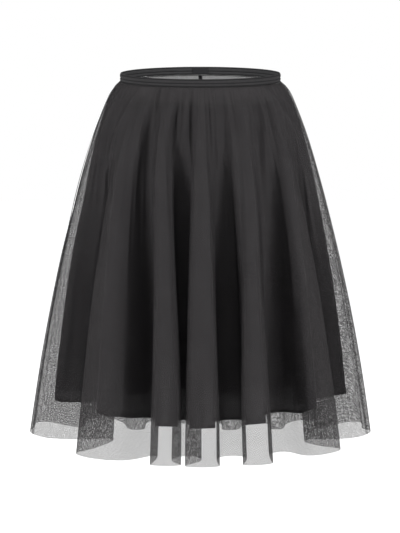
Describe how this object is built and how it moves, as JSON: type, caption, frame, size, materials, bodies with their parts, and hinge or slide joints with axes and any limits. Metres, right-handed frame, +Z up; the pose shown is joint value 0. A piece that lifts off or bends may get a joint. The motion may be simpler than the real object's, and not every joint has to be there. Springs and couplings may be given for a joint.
{
  "type": "tulle skirt",
  "caption": "Knee-length sheer tulle skirt over a shorter lining, flared into deep soft folds below a narrow elastic waistband.",
  "frame": {"origin": "centre of the waist, half-way up the waistband, where the wearer's waist holds the skirt", "axes": "+X to the right of the picture (the wearer's left), -Y towards the viewer (the skirt's front), +Z up"},
  "size_m": [0.5521, 0.3872, 0.6048],
  "materials": {
    "tulle": "sheer fine-net black tulle",
    "lining": "soft matt charcoal lining cloth",
    "waistband": "black cloth-covered elastic, stitched",
    "patch": "plain black woven tape"
  },
  "bodies": {
    "root": {"tulle_front": "tulle", "tulle_back_right": "tulle", "tulle_back_left": "tulle", "lining_front": "lining", "lining_back_right": "lining", "lining_back_left": "lining", "waistband": "waistband", "waist_patch": "patch"}
  },
  "joints": []
}
